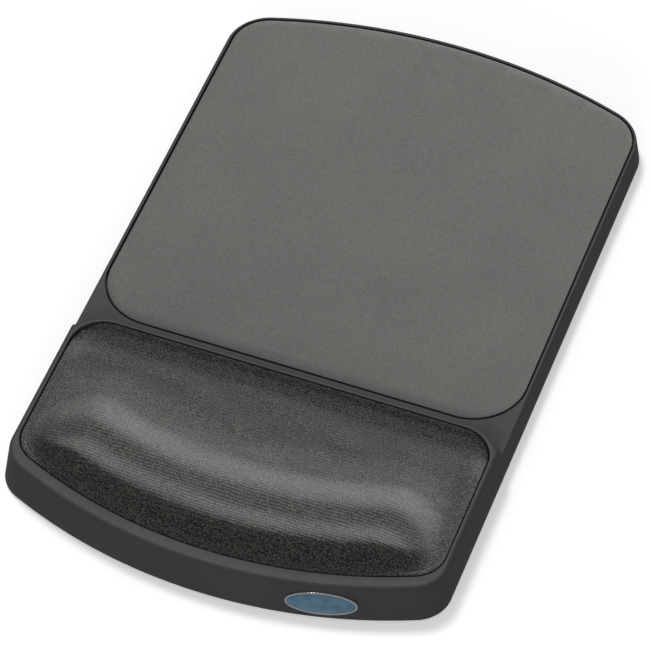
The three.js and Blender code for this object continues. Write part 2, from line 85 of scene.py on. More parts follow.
# ---- outlines: two parallel sides, a bowed rear edge and a bowed front edge ----------------
class Outline:
    def __init__(self, half, rear, rear_bow, rear_corner, front, front_bow, front_corner):
        self.half = half
        self.rear = rear
        self.rear_bow = rear_bow
        self.rear_corner = rear_corner
        self.front = front
        self.front_bow = front_bow
        self.front_corner = front_corner

    def inset(self, distance):
        return Outline(
            self.half - distance,
            self.rear - distance, self.rear_bow - distance, self.rear_corner - distance,
            self.front + distance, self.front_bow - distance, self.front_corner - distance,
        )

    def bowed_edge(self, apex, bow, corner):
        """Arcs (centre x, centre y, radius, from angle, to angle) of an edge bowed towards +Y."""
        reach = self.half - corner
        centre_y = apex - bow
        corner_y = centre_y + math.sqrt((bow - corner) ** 2 - reach ** 2)
        turn = math.atan2(corner_y - centre_y, reach)
        return [
            (reach, corner_y, corner, 0.0, turn),
            (0.0, centre_y, bow, turn, math.pi - turn),
            (-reach, corner_y, corner, math.pi - turn, math.pi),
        ]

    def points(self, step):
        """Points anticlockwise from the right side, about a step apart."""
        rear = self.bowed_edge(self.rear, self.rear_bow, self.rear_corner)
        front = self.bowed_edge(-self.front, self.front_bow, self.front_corner)
        arcs = rear + [(-x, -y, r, a + math.pi, b + math.pi) for x, y, r, a, b in front]
        corners = []
        for x, y, radius, start, end in arcs:
            count = max(2, math.ceil((end - start) * radius / step))
            angles = np.linspace(start, end, count + 1)
            corners.append(np.stack([x + radius * np.cos(angles), y + radius * np.sin(angles)], 1))
        return even_steps(np.concatenate(corners), step)


def even_steps(points, step):
    """Drops doubled points and splits long edges of a closed outline."""
    doubled = 0.02 * step
    too_long = 1.3 * step
    kept = []
    for here, after in zip(points, np.roll(points, -1, 0)):
        length = np.linalg.norm(after - here)
        if length < doubled:
            continue
        parts = max(1, math.ceil(length / too_long))
        kept.extend(here + (after - here) * k / parts for k in range(parts))
    return np.array(kept)


STRAIGHT = 1e5  # bow radius of an edge that is as good as straight
TRAY = Outline(HALF, REAR, 213.3, 17, FRONT, 178.8, 13)
DECK_INSET = SIDE_DRAFT * (DECK_Z - SKIRT_Z) + PAD_LIP
PAD = Outline(HALF - DECK_INSET, REAR - DECK_INSET, 210.5, 15, -36.7, STRAIGHT, 20)
REST = Outline(75.6, -43.3, STRAIGHT, 12, -122, 170.3, 12)


# ---- meshes -------------------------------------------------------------------------------
def new_object(name, vertices, faces):
    mesh = bpy.data.meshes.new(name)
    mesh.from_pydata([tuple(np.asarray(v) * MM) for v in vertices], [], faces)
    mesh.update()
    shape = bmesh.new()
    shape.from_mesh(mesh)
    bmesh.ops.remove_doubles(shape, verts=shape.verts, dist=1e-6)
    bmesh.ops.recalc_face_normals(shape, faces=shape.faces)
    shape.to_mesh(mesh)
    shape.free()
    mesh.shade_smooth()
    made = bpy.data.objects.new(name, mesh)
    bpy.context.scene.collection.objects.link(made)
    return made


def smooth_by_angle(made, degrees):
    """Marks edges sharper than an angle, so that flat faces stay flat beside small rounds."""
    shape = bmesh.new()
    shape.from_mesh(made.data)
    for edge in shape.edges:
        edge.smooth = len(edge.link_faces) == 2 and edge.calc_face_angle(0) < math.radians(degrees)
    shape.to_mesh(made.data)
    shape.free()


def inside(points, loop):
    """Whether each point lies inside a closed loop."""
    hits = np.zeros(len(points), bool)
    x, y = points[:, 0], points[:, 1]
    for (x0, y0), (x1, y1) in zip(loop, np.roll(loop, -1, 0)):
        if y0 == y1:
            continue
        crosses = (y0 > y) != (y1 > y)
        hits ^= crosses & (x < x0 + (x1 - x0) * (y - y0) / (y1 - y0))
    return hits


def triangulate(loops, extra, keep):
    """Triangles between closed loops and loose points, where keep(centroids) is true."""
    points = []
    edges = []
    for loop in loops:
        first = len(points)
        points.extend(loop)
        edges.extend((first + i, first + (i + 1) % len(loop)) for i in range(len(loop)))
    points.extend(extra)
    tolerance = 1e-5
    made = delaunay_2d_cdt([Vector(p) for p in points], edges, [], 0, tolerance)
    flat = np.array([tuple(v) for v in made[0]])
    triangles = np.array([tuple(f) for f in made[2]])
    triangles = triangles[keep(flat[triangles].mean(1))]
    a, b, c = (flat[triangles[:, i]] for i in range(3))
    turned = (b - a)[:, 0] * (c - a)[:, 1] < (b - a)[:, 1] * (c - a)[:, 0]
    triangles[turned] = triangles[turned][:, ::-1]
    used = np.unique(triangles)
    order = np.full(len(flat), -1)
    order[used] = np.arange(len(used))
    return flat[used], order[triangles]


def boundary_loops(triangles):
    """The closed loops of vertices along the free edges, each in the triangles' own direction."""
    edges = {}
    for a, b, c in triangles:
        for start, end in ((a, b), (b, c), (c, a)):
            edges[(start, end)] = True
    after = {start: end for start, end in edges if (end, start) not in edges}
    loops = []
    while after:
        start, here = after.popitem()
        loop = [start]
        while here != start:
            loop.append(here)
            here = after.pop(here)
        loops.append(np.array(loop))
    return loops


def encloses(loop):
    """Whether a closed loop runs anticlockwise."""
    after = np.roll(loop, -1, 0)
    return (loop[:, 0] * after[:, 1] - loop[:, 1] * after[:, 0]).sum() > 0


class Shell:
    """A mesh that grows from a triangulated top by rings of points below its free edges."""

    def __init__(self, vertices, triangles):
        self.vertices = [np.array(v) for v in vertices]
        self.faces = [tuple(int(i) for i in t) for t in triangles]

    def ring(self, loop, points):
        """Joins a new ring of points to a loop of vertex numbers, and returns its numbers."""
        first = len(self.vertices)
        self.vertices.extend(points)
        count = len(loop)
        for i in range(count):
            j = (i + 1) % count
            self.faces.append((int(loop[j]), int(loop[i]), first + i, first + j))
        return np.arange(first, first + count)

    def close(self, loop):
        self.faces.append(tuple(int(i) for i in loop[::-1]))


def loop_normals(points):
    """Unit vectors to the right of each point's way along the loop."""
    along = np.roll(points, -1, 0) - np.roll(points, 1, 0)
    across = np.stack([along[:, 1], -along[:, 0]], 1)
    return across / np.linalg.norm(across, axis=1)[:, None]


def smoothstep(low, high, value):
    t = np.clip((np.asarray(value, float) - low) / (high - low), 0, 1)
    return t * t * (3 - 2 * t)


# ---- tray ---------------------------------------------------------------------------------
COLLAR_HALF = HALF - 0.2
COLLAR_REAR = REST.rear + 1.9
COLLAR_CORNER = 15
COLLAR_SLOPE = (-0.9, 1.7)  # from the collar's flat top to the deck, across its outline
DECK_EDGE_ROUND = 0.55
RIM_EDGE_ROUND = 1.2
FRONT_EDGE_ROUND = 1.6
PAD_EDGE_ROUND = 0.2
REST_EDGE_ROUND = 0.25
SKIRT_ROUND = 0.35
PAD_FLOOR_Z = BACKING_LOW[2] - 0.1
PAN_Z = COVER_LOW[2] - GAP
CEILING_Z = PAN_Z - 1.8  # inside face of the tray's top, seen from below


def collar_distance(x, y):
    """Distance outside the collar's outline, which is open towards the front."""
    dx = np.abs(x) - (COLLAR_HALF - COLLAR_CORNER)
    dy = y - (COLLAR_REAR - COLLAR_CORNER)
    outside = np.hypot(np.maximum(dx, 0), np.maximum(dy, 0))
    return outside + np.minimum(np.maximum(dx, dy), 0) - COLLAR_CORNER


def tray_top(x, y):
    rise = 1 - smoothstep(*COLLAR_SLOPE, collar_distance(x, y))
    rise = np.where(y < COLLAR_REAR - 2 * COLLAR_CORNER, 1.0, rise)
    return DECK_Z + (RIM_Z - DECK_Z) * rise


def lean_in(points, z):
    """Where the outline's points at the skirt move to at a height, as the walls lean inward."""
    side = SIDE_DRAFT * (z - SKIRT_Z)
    front = FRONT_DRAFT * (z - SKIRT_Z)
    length = REAR - FRONT
    x = points[:, 0] * (HALF - side) / HALF
    y = FRONT + front + (points[:, 1] - FRONT) * (length - side - front) / length
    return np.stack([x, y], 1)


def lean_back(points, z):
    """The opposite of lean_in."""
    side = SIDE_DRAFT * (z - SKIRT_Z)
    front = FRONT_DRAFT * (z - SKIRT_Z)
    length = REAR - FRONT
    x = points[:, 0] * HALF / (HALF - side)
    y = FRONT + (points[:, 1] - FRONT - front) * length / (length - side - front)
    return np.stack([x, y], 1)


def wall_edge():
    """The outer edge of the tray's flat top: inside the wall's own edge by its rounding."""
    skirt = TRAY.points(0.8)
    outward = loop_normals(skirt)
    edge = skirt
    rounds_to_settle = 5
    for _ in range(rounds_to_settle):
        height = tray_top(edge[:, 0], edge[:, 1])
        radius, _, inset = edge_round(skirt, outward, height)
        edge = lean_in(skirt, height) - outward * inset[:, None]
    return edge


def edge_round(skirt, outward, height):
    """Radius of the wall's top rounding, the wall's angle from upright and the round's inset."""
    lean = ((skirt - lean_in(skirt, SKIRT_Z + 1)) * outward).sum(1)
    least_lean = 0.05
    steep = np.arctan(np.maximum(lean, least_lean))
    rise = np.clip((height - DECK_Z) / (RIM_Z - DECK_Z), 0, 1)
    rim = RIM_EDGE_ROUND + (FRONT_EDGE_ROUND - RIM_EDGE_ROUND) * np.clip(-outward[:, 1], 0, 1)
    radius = DECK_EDGE_ROUND + (rim - DECK_EDGE_ROUND) * rise
    return radius, steep, radius * (1 - np.sin(steep)) / np.cos(steep)


def collar_points(edge, hole):
    """Points along the slope round the collar, clear of the tray's edge and of the opening."""
    reach = COLLAR_HALF - COLLAR_CORNER
    middle = COLLAR_REAR - COLLAR_CORNER
    rows = []
    row_count = 13
    for offset in np.linspace(*COLLAR_SLOPE, row_count):
        corner = COLLAR_CORNER + offset
        angles = np.linspace(0, math.pi / 2, math.ceil(corner * math.pi / 1.2))
        right = np.stack([reach + corner * np.cos(angles), middle + corner * np.sin(angles)], 1)
        across = np.arange(-reach, reach, 2.0)
        straight = np.stack([across, np.full(len(across), middle + corner)], 1)
        rows.extend([right, right * [-1, 1], straight])
    points = np.concatenate(rows)
    return points[inside(points, edge) & ~inside(points, hole)]


def build_tray():
    edge = wall_edge()
    pad_edge = PAD.inset(-PAD_EDGE_ROUND).points(1.0)
    rest_edge = REST.inset(-REST_EDGE_ROUND).points(1.0)
    clear = 0.3
    slope = collar_points(
        edge - loop_normals(edge) * clear, REST.inset(-REST_EDGE_ROUND - clear).points(1.0))

    def on_top(centres):
        return inside(centres, edge) & ~inside(centres, pad_edge) & ~inside(centres, rest_edge)

    flat, triangles = triangulate([edge, pad_edge, rest_edge], slope, on_top)
    heights = tray_top(flat[:, 0], flat[:, 1])
    shell = Shell(np.column_stack([flat, heights]), triangles)
    for loop in boundary_loops(triangles):
        points, height = flat[loop], heights[loop]
        if encloses(points):
            grow_wall(shell, loop, points, height)
        elif points[:, 1].max() > 0:
            grow_pocket(shell, loop, points, height, PAD_EDGE_ROUND, PAD_FLOOR_Z)
        else:
            grow_pocket(shell, loop, points, height, REST_EDGE_ROUND, PAN_Z)
    tray = new_object("tray_skin", shell.vertices, shell.faces)
    smooth_by_angle(tray, 40)
    return tray


def grow_pocket(shell, loop, points, height, radius, floor_z):
    """Rounds the edge of a recess, drops its wall and closes its floor."""
    inward = loop_normals(points)
    for angle in np.linspace(0, math.pi / 2, 5)[1:]:
        flat = points + inward * radius * math.sin(angle)
        z = height - radius * (1 - math.cos(angle))
        loop = shell.ring(loop, np.column_stack([flat, z]))
    loop = shell.ring(loop, np.column_stack([flat, np.full(len(flat), floor_z)]))
    shell.close(loop)


def grow_wall(shell, loop, points, height):
    """Rounds the tray's top edge, drops its leaning wall and turns it in under the skirt."""
    outward = loop_normals(points)
    radius, steep, inset = edge_round(lean_back(points, height), outward, height)
    base = lean_back(points + outward * inset[:, None], height)
    for share in np.linspace(0, 1, 7)[1:]:
        angle = share * (math.pi / 2 - steep)
        flat = points + outward * (radius * np.sin(angle))[:, None]
        z = height - radius * (1 - np.cos(angle))
        loop = shell.ring(loop, np.column_stack([flat, z]))
    top = z
    for share in (0.25, 0.5, 0.75, 1):
        z = top + (SKIRT_Z + SKIRT_ROUND - top) * share
        flat = lean_in(base, z)
        loop = shell.ring(loop, np.column_stack([flat, z]))
    for angle in np.linspace(0, math.pi / 2, 4)[1:]:
        turned = flat - outward * SKIRT_ROUND * (1 - math.cos(angle))
        z = SKIRT_Z + SKIRT_ROUND * (1 - math.sin(angle))
        loop = shell.ring(loop, np.column_stack([turned, np.full(len(turned), z)]))
    inner = flat - outward * WALL
    for z in (SKIRT_Z, CEILING_Z):
        loop = shell.ring(loop, np.column_stack([inner, np.full(len(inner), z)]))
    shell.close(loop)


# ---- cushion ------------------------------------------------------------------------------
FLANGE_Z = RIM_Z - 0.2  # flat hem around the edge of the cushion
CREST = CREST_Z - FLANGE_Z
SCOOP = 1.6  # how far the rear of the pillow lies below the hem
HEM = 2.4
SHOULDER = 9.5  # where the full height is reached, in from the edge
END_STEP = 0.4  # share of the height that the ends reach at the shoulder
END_REACH = 24  # where the full height is reached, from an end
REAR_DIP = 0.9  # how far the hem sinks along its rear edge
DIP_FADE = (8, 20)  # where that dip runs out, from the rear edge
TERRACE_DROP = 1.3  # how far the terrace behind the ridge lies below it
TERRACE_SLOPE = (10.5, 19.5)  # from the ridge to the terrace, back from the bowed front edge
FALL_STEEP = (24.5, 41)  # from the terrace to the scoop, where most of the fall is
FALL_LONG = (24.5, 54)
STEEP_SHARE = 0.55
BEND = 24  # the ridge and the terrace turn towards the front corners over this length
BEND_POWER = 1.7
EDGE_ROLL = 0.35
CREASE = 0.14  # stitched-down line where the pillow meets the hem
CREASE_HALF = 0.17
CREASE_AT = HEM - 0.1
EDGE_RINGS = (0, 0.06, 0.16, 0.3, 0.55, 1.1, 1.6, 1.76, 1.9, 2.04, 2.2, 2.5, 3, 3.7, 4.7)
CUSHION_STEP = 1.2
BOW_CENTRE_Y = REST.front + REST.front_bow


def cushion_top(x, y, depth):
    """A flat hem, then a pillow with a ridge along its bowed front, a terrace and a scoop."""
    from_front = y - (BOW_CENTRE_Y - np.sqrt(REST.front_bow ** 2 - x ** 2))
    from_side = REST.half - np.abs(x)
    along = from_front + BEND * np.maximum(0, 1 - from_side / BEND) ** BEND_POWER
    drop = TERRACE_DROP * smoothstep(*TERRACE_SLOPE, along)
    steep = smoothstep(*FALL_STEEP, along)
    fall = STEEP_SHARE * steep + (1 - STEEP_SHARE) * smoothstep(*FALL_LONG, along)
    near_end = END_STEP * smoothstep(HEM, SHOULDER, from_side)
    end = near_end + (1 - END_STEP) * smoothstep(HEM + 2, END_REACH, from_side)
    pillow = (CREST - drop) * (1 - fall) * end - SCOOP * fall
    rise = smoothstep(HEM, SHOULDER, depth)
    from_rear = REST.rear - y
    dip = REAR_DIP * smoothstep(GAP, HEM + 1, from_rear) * (1 - smoothstep(*DIP_FADE, from_rear))
    return FLANGE_Z + rise * pillow - (1 - rise) * dip


def loop_distance(points, loop):
    """Distance from each point to the nearest edge of a closed loop."""
    nearest = np.full(len(points), np.inf)
    for start, end in zip(loop, np.roll(loop, -1, 0)):
        way = end - start
        share = np.clip((points - start) @ way / (way @ way), 0, 1)
        gap = np.linalg.norm(points - start - share[:, None] * way, axis=1)
        nearest = np.minimum(nearest, gap)
    return nearest


def unevenness(points):
    """The slight lumps of hand-filled gel, some centimetres across."""
    total = np.zeros(len(points))
    for height, length, width, layer in ((0.16, 17, 9, 0.3), (0.05, 6, 4, 7.7)):
        lumps = [noise.noise(Vector((x / length, y / width, layer))) for x, y in points]
        total += height * np.array(lumps)
    return total


def build_cushion():
    margin = GAP + 0.05
    outline = REST.inset(margin)
    loops = [outline.inset(depth).points(CUSHION_STEP) for depth in EDGE_RINGS]
    rows = []
    for from_front in np.arange(5, 90, CUSHION_STEP):
        x = np.arange(-75, 75.1, CUSHION_STEP)
        y = BOW_CENTRE_Y - np.sqrt(REST.front_bow ** 2 - x ** 2) + from_front
        rows.append(np.stack([x, y], 1))
    grid = np.concatenate(rows)
    grid_inset = EDGE_RINGS[-1] + 0.9
    grid = grid[inside(grid, outline.inset(grid_inset).points(1.0))]
    flat, triangles = triangulate(loops, grid, lambda centres: inside(centres, loops[0]))
    in_from_edge = loop_distance(flat, outline.points(0.6))
    depth = in_from_edge + margin
    heights = cushion_top(flat[:, 0], flat[:, 1], depth)
    short = np.clip(EDGE_ROLL - in_from_edge, 0, EDGE_ROLL)
    heights -= EDGE_ROLL - np.sqrt(EDGE_ROLL ** 2 - short ** 2)
    heights -= CREASE * np.exp(-(((depth - CREASE_AT) / CREASE_HALF) ** 2))
    heights += unevenness(flat) * smoothstep(HEM, 7, depth)
    heights = np.minimum(heights, CREST_Z)
    shell = Shell(np.column_stack([flat, heights]), triangles)
    (loop,) = boundary_loops(triangles)
    points = flat[loop]
    for z in (14, 12, COVER_LOW[2]):  # the cover's side wall, down into the pan
        loop = shell.ring(loop, np.column_stack([points, np.full(len(points), z)]))
    shell.close(loop)
    return new_object("cushion", shell.vertices, shell.faces)


# ---- mouse pad ----------------------------------------------------------------------------
PAD_GROOVE = GAP + 0.4
PAD_STEP = 3.0


def build_pad_cloth():
    outline = PAD.inset(PAD_GROOVE)
    edge = 0.25
    rim = outline.inset(edge).points(1.2)
    across = np.arange(-75, 75.1, PAD_STEP)
    rows = [np.stack([across, np.full(len(across), y)], 1) for y in np.arange(-34, 126, PAD_STEP)]
    grid = np.concatenate(rows)
    grid = grid[inside(grid, outline.inset(2).points(1.0))]
    flat, triangles = triangulate([rim], grid, lambda centres: inside(centres, rim))
    shell = Shell(np.column_stack([flat, np.full(len(flat), CLOTH_HIGH[2])]), triangles)
    (loop,) = boundary_loops(triangles)
    points = flat[loop]
    outward = loop_normals(points)
    for angle in np.linspace(0, math.pi / 2, 4)[1:]:
        turned = points + outward * edge * math.sin(angle)
        z = CLOTH_HIGH[2] - edge * (1 - math.cos(angle))
        loop = shell.ring(loop, np.column_stack([turned, np.full(len(turned), z)]))
    loop = shell.ring(loop, np.column_stack([turned, np.full(len(turned), CLOTH_LOW[2])]))
    shell.close(loop)
    return new_object("pad_cloth", shell.vertices, shell.faces)


# ---- badge --------------------------------------------------------------------------------
BADGE_X = 41.5
BADGE_Z = 8
BADGE_WIDE = 12.2
BADGE_HIGH = 5.4
RIM_PROFILE = (  # inset from the badge's edge, and height over the tray's face
    (0.15, -0.9), (0, -0.75), (0, 0.18), (0.07, 0.36), (0.2, 0.45), (0.45, 0.48),
    (0.7, 0.42), (0.83, 0.3), (0.88, 0.1), (0.88, -0.35),
)
LENS_INSET = 0.95
LENS_EDGE_Z = 0.12
LENS_DOME = 0.72
LENS_BACK_Z = -0.3
OVAL_POINTS = 96


def badge_axes():
    """Centre, across, up and outward, square to the leaning, bowed front face."""
    lean = FRONT_DRAFT * (BADGE_Z - SKIRT_Z)
    bow = TRAY.front_bow - lean
    turn = math.asin(BADGE_X / bow)
    tilt = math.atan(FRONT_DRAFT)
    centre = np.array([BADGE_X, FRONT + lean + bow * (1 - math.cos(turn)), BADGE_Z])
    across = np.array([math.cos(turn), math.sin(turn), 0])
    level = np.array([math.sin(turn), -math.cos(turn), 0])
    outward = level * math.cos(tilt) + np.array([0, 0, math.sin(tilt)])
    return centre, across, np.cross(outward, across), outward


def oval_body(name, rings):
    """A closed body from ovals (half width, half height, height), from its back to its face."""
    centre, across, up, outward = badge_axes()
    angles = np.linspace(0, 2 * math.pi, OVAL_POINTS, endpoint=False)[:, None]
    shell = Shell([], [])
    loop = None
    for wide, high, lift in rings:
        points = centre + across * wide * np.cos(angles) + up * high * np.sin(angles) + outward * lift
        if loop is None:
            shell.vertices = list(points)
            loop = np.arange(len(points))
            shell.faces.append(tuple(int(i) for i in loop))
        else:
            loop = shell.ring(loop, points)
    shell.close(loop)
    body = new_object(name, shell.vertices, shell.faces)
    smooth_by_angle(body, 50)
    return body


def build_badge():
    rim = oval_body("badge_rim", [(BADGE_WIDE - d, BADGE_HIGH - d, z) for d, z in RIM_PROFILE])
    wide, high = BADGE_WIDE - LENS_INSET, BADGE_HIGH - LENS_INSET
    rings = [(wide, high, LENS_BACK_Z), (wide, high, LENS_EDGE_Z)]
    for angle in np.linspace(0.06, 0.98, 14) * math.pi / 2:
        share = math.cos(angle)
        rings.append((wide * share, high * share, LENS_EDGE_Z + LENS_DOME * math.sin(angle)))
    return rim, oval_body("badge_dome", rings)


# ---- materials ----------------------------------------------------------------------------
PAD_DARK = (0.060, 0.059, 0.056)
PAD_LIGHT = (0.104, 0.103, 0.097)
KNIT_DARK = (0.0045, 0.0045, 0.004)
KNIT_MIDDLE = (0.020, 0.020, 0.018)
KNIT_LIGHT = (0.052, 0.052, 0.047)
TRAY_DARK = (0.032, 0.031, 0.035)
TRAY_LIGHT = (0.037, 0.036, 0.040)


class Graph:
    """A material's node graph, built by short calls."""

    def __init__(self, name):
        self.material = bpy.data.materials.new(name)
        self.material.use_nodes = True
        self.tree = self.material.node_tree
        self.shader = self.tree.nodes["Principled BSDF"]
        coordinates = self.tree.nodes.new("ShaderNodeTexCoord")
        scale = self.tree.nodes.new("ShaderNodeVectorMath")
        scale.operation = "SCALE"
        scale.inputs["Scale"].default_value = 1 / MM
        self.tree.links.new(coordinates.outputs["Object"], scale.inputs[0])
        self.place = scale.outputs[0]

    def set(self, **values):
        for name, value in values.items():
            self.shader.inputs[name.replace("_", " ")].default_value = value

    def plug(self, source, socket):
        if hasattr(source, "links"):
            self.tree.links.new(source, socket)
        else:
            socket.default_value = source

    def math(self, operation, a, b=0.0):
        node = self.tree.nodes.new("ShaderNodeMath")
        node.operation = operation
        for socket, value in zip(node.inputs, (a, b)):
            self.plug(value, socket)
        return node.outputs[0]

    def axes(self):
        node = self.tree.nodes.new("ShaderNodeSeparateXYZ")
        self.plug(self.place, node.inputs[0])
        return node.outputs

    def wave(self, place, pitch):
        """A sine wave along a place, one turn to each pitch."""
        return self.math("SINE", self.math("MULTIPLY", place, 2 * math.pi / pitch))

    def noise(self, scale, detail, roughness=0.5):
        """Noise from 0 to 1, about scale lumps to a millimetre."""
        node = self.tree.nodes.new("ShaderNodeTexNoise")
        node.inputs["Scale"].default_value = scale
        node.inputs["Detail"].default_value = detail
        node.inputs["Roughness"].default_value = roughness
        self.plug(self.place, node.inputs["Vector"])
        return node.outputs[0]

    def swing(self, scale, detail, amount):
        """Noise about 0, as strong as amount."""
        return self.math("MULTIPLY", self.math("SUBTRACT", self.noise(scale, detail), 0.5), amount)

    def ramp(self, source, stops):
        node = self.tree.nodes.new("ShaderNodeValToRGB")
        self.plug(source, node.inputs[0])
        marks = node.color_ramp.elements
        while len(marks) < len(stops):
            marks.new(0.5)
        for mark, (place, color) in zip(marks, stops):
            mark.position = place
            mark.color = (*color, 1)
        return node.outputs[0]

    def remap(self, source, low, high, to_low, to_high):
        node = self.tree.nodes.new("ShaderNodeMapRange")
        for socket, value in zip(node.inputs, (source, low, high, to_low, to_high)):
            self.plug(value, socket)
        return node.outputs[0]

    def bump(self, height, distance, strength):
        node = self.tree.nodes.new("ShaderNodeBump")
        node.inputs["Strength"].default_value = strength
        node.inputs["Distance"].default_value = distance * MM
        self.plug(height, node.inputs["Height"])
        return node.outputs[0]

    def cloth_gloss(self, specular):
        """Gloss that fades where a cloth is seen along its surface, as its yarns stand up there."""
        node = self.tree.nodes.new("ShaderNodeLayerWeight")
        node.inputs["Blend"].default_value = 0.5
        gloss = self.remap(node.outputs["Facing"], 0.5, 0.85, specular, 0.0)
        self.plug(gloss, self.shader.inputs["Specular IOR Level"])

    def clear_from_behind(self):
        """Makes the back of every face see-through."""
        faces = self.tree.nodes.new("ShaderNodeNewGeometry")
        clear = self.tree.nodes.new("ShaderNodeBsdfTransparent")
        mix = self.tree.nodes.new("ShaderNodeMixShader")
        self.tree.links.new(faces.outputs["Backfacing"], mix.inputs[0])
        self.tree.links.new(self.shader.outputs[0], mix.inputs[1])
        self.tree.links.new(clear.outputs[0], mix.inputs[2])
        self.tree.links.new(mix.outputs[0], self.tree.nodes["Material Output"].inputs["Surface"])

    def finish(self, color=None, roughness=None, normal=None):
        for source, name in ((color, "Base Color"), (roughness, "Roughness"), (normal, "Normal")):
            if source is not None:
                self.plug(source, self.shader.inputs[name])
        return self.material


def moulded_plastic(name, dark, light, rough):
    """Satin moulded plastic: fine spark-eroded grain, faint cloudiness, uneven gloss."""
    g = Graph(name)
    cloud = g.noise(0.03, 4, 0.6)
    color = g.ramp(cloud, [(0.3, dark), (0.7, light)])
    roughness = g.remap(g.noise(0.4, 3), 0.2, 0.8, rough - 0.04, rough + 0.04)
    g.set(Specular_IOR_Level=0.12, IOR=1.4)
    return g.finish(color, roughness, g.bump(g.noise(5.5, 2, 0.6), 0.012, 0.6))


def pad_cloth_material():
    """Flat plain-woven polyester: warp and weft half a millimetre apart, with faint slubs."""
    g = Graph("pad_weave")
    x, y, _ = g.axes()
    pitch = 0.55
    wobble = g.math("MULTIPLY", g.noise(0.25, 2), 0.5)
    warp = g.wave(g.math("ADD", x, wobble), pitch)
    weft = g.wave(g.math("ADD", y, wobble), pitch)
    weave = g.math("MULTIPLY", warp, weft)
    shade = g.remap(weave, -1, 1, 0.44, 0.56)
    speckle = g.swing(2.2, 2, 1.2)
    cloud = g.swing(0.03, 3, 0.3)
    tone = g.math("ADD", g.math("ADD", shade, speckle), cloud)
    color = g.ramp(tone, [(0.2, PAD_DARK), (0.8, PAD_LIGHT)])
    g.set(Sheen_Weight=0.04, Sheen_Roughness=0.5)
    g.cloth_gloss(0.2)
    return g.finish(color, g.remap(weave, -1, 1, 0.85, 0.95), g.bump(weave, 0.05, 0.5))


def knit_material():
    """Stretch knit: straight ribs across the cushion, deeper high on the ridge, broken up by small loops
    and flecked yarn. The ribs' colour is painted shade in their grooves and painted highlight on their
    crests, strongest high on the ridge."""
    g = Graph("rest_knit")
    x, y, z = g.axes()
    wobble = g.math("MULTIPLY", g.noise(0.09, 2), 1.6)
    rib_pitch = 1.3
    loop_pitch = 0.9
    # ribs grow deeper with height over the hem; through the colour this also paints stronger rib shade
    # and highlight on the ridge
    rib_depth_and_painted_shade = g.remap(z, FLANGE_Z + 0.5, FLANGE_Z + 4, 0.3, 1.0)
    rib = g.math("MULTIPLY", g.wave(g.math("ADD", y, wobble), rib_pitch), rib_depth_and_painted_shade)
    stagger = g.math("MULTIPLY", rib, 1.2)
    loops = g.math("SINE", g.math("ADD", g.math("MULTIPLY", x, 2 * math.pi / loop_pitch), stagger))
    height = g.math("ADD", g.math("MULTIPLY", rib, 0.5), g.math("MULTIPLY", loops, 0.15))
    fleck = g.swing(2.2, 1, 3.6)
    fuzz = g.swing(0.5, 2, 0.3)
    # the rib height also tints the colour: painted shade in the rib grooves and painted highlight on the
    # rib crests; fleck and fuzz are the yarn's own tone
    tone = g.math("ADD", g.math("ADD", g.math("MULTIPLY", height, 0.2), fleck), fuzz)
    color = g.ramp(g.math("ADD", tone, 0.5), [(0.12, KNIT_DARK), (0.5, KNIT_MIDDLE), (0.88, KNIT_LIGHT)])
    g.set(Sheen_Weight=0.03, Sheen_Roughness=0.5, Sheen_Tint=(0.9, 0.9, 0.82, 1))
    g.cloth_gloss(0.2)
    return g.finish(color, g.remap(height, -1, 1, 0.75, 0.6), g.bump(height, 0.08, 0.5))


def plain_rubber(name, color):
    """Matt rubber or gel, speckled with a half lighter shade."""
    g = Graph(name)
    grain = g.noise(3.0, 3)
    shade = g.ramp(grain, [(0.3, color), (0.7, tuple(1.5 * c for c in color))])
    return g.finish(shade, g.remap(grain, 0.2, 0.8, 0.75, 0.95), g.bump(grain, 0.03, 0.5))


def zinc_steel():
    """Zinc-plated screws and pins."""
    g = Graph("zinc_steel")
    streaks = g.noise(1.4, 4)
    color = g.ramp(streaks, [(0.3, (0.42, 0.42, 0.40)), (0.7, (0.62, 0.61, 0.58))])
    g.set(Metallic=1.0)
    return g.finish(color, g.remap(streaks, 0.2, 0.8, 0.25, 0.45), g.bump(streaks, 0.01, 0.4))


def silver_rim():
    """Bright silver finish of the badge's rim."""
    g = Graph("silver_rim")
    streaks = g.noise(2.0, 3)
    color = g.ramp(streaks, [(0.3, (0.62, 0.64, 0.68)), (0.7, (0.75, 0.77, 0.8))])
    g.set(Metallic=1.0)
    return g.finish(color, g.remap(streaks, 0.2, 0.8, 0.14, 0.26))


def badge_resin():
    """Clear-coated blue resin, slightly cloudy."""
    g = Graph("badge_resin")
    cloud = g.noise(0.35, 2)
    color = g.ramp(cloud, [(0.3, (0.035, 0.085, 0.135)), (0.7, (0.06, 0.13, 0.19))])
    g.set(Coat_Weight=0.6, Coat_Roughness=0.05)
    return g.finish(color, g.remap(cloud, 0.2, 0.8, 0.1, 0.18))


# ---- pieces -------------------------------------------------------------------------------
def dress(piece, material):
    piece.data.materials.clear()
    piece.data.materials.append(material)


tray = build_tray()
cushion = build_cushion()
pad_cloth = build_pad_cloth()
badge_rim, badge_dome = build_badge()
tray_plastic = moulded_plastic("tray_plastic", TRAY_DARK, TRAY_LIGHT, 0.46)

STAND_INS = (  # piece, the node that it stands for, its material and its slot
    (tray, "tray_shell", tray_plastic, "tray_plastic"),
    (cushion, "cushion_cover", knit_material(), "cushion_knit"),
    (pad_cloth, "mouse_pad_cloth", pad_cloth_material(), "pad_cloth"),
    (badge_rim, "badge_bezel", silver_rim(), "badge_silver"),
    (badge_dome, "badge_lens", badge_resin(), "badge_blue"),
)
for piece, node, material, slot in STAND_INS:
    dress(piece, material)
    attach(piece, "platform")
    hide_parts(node)

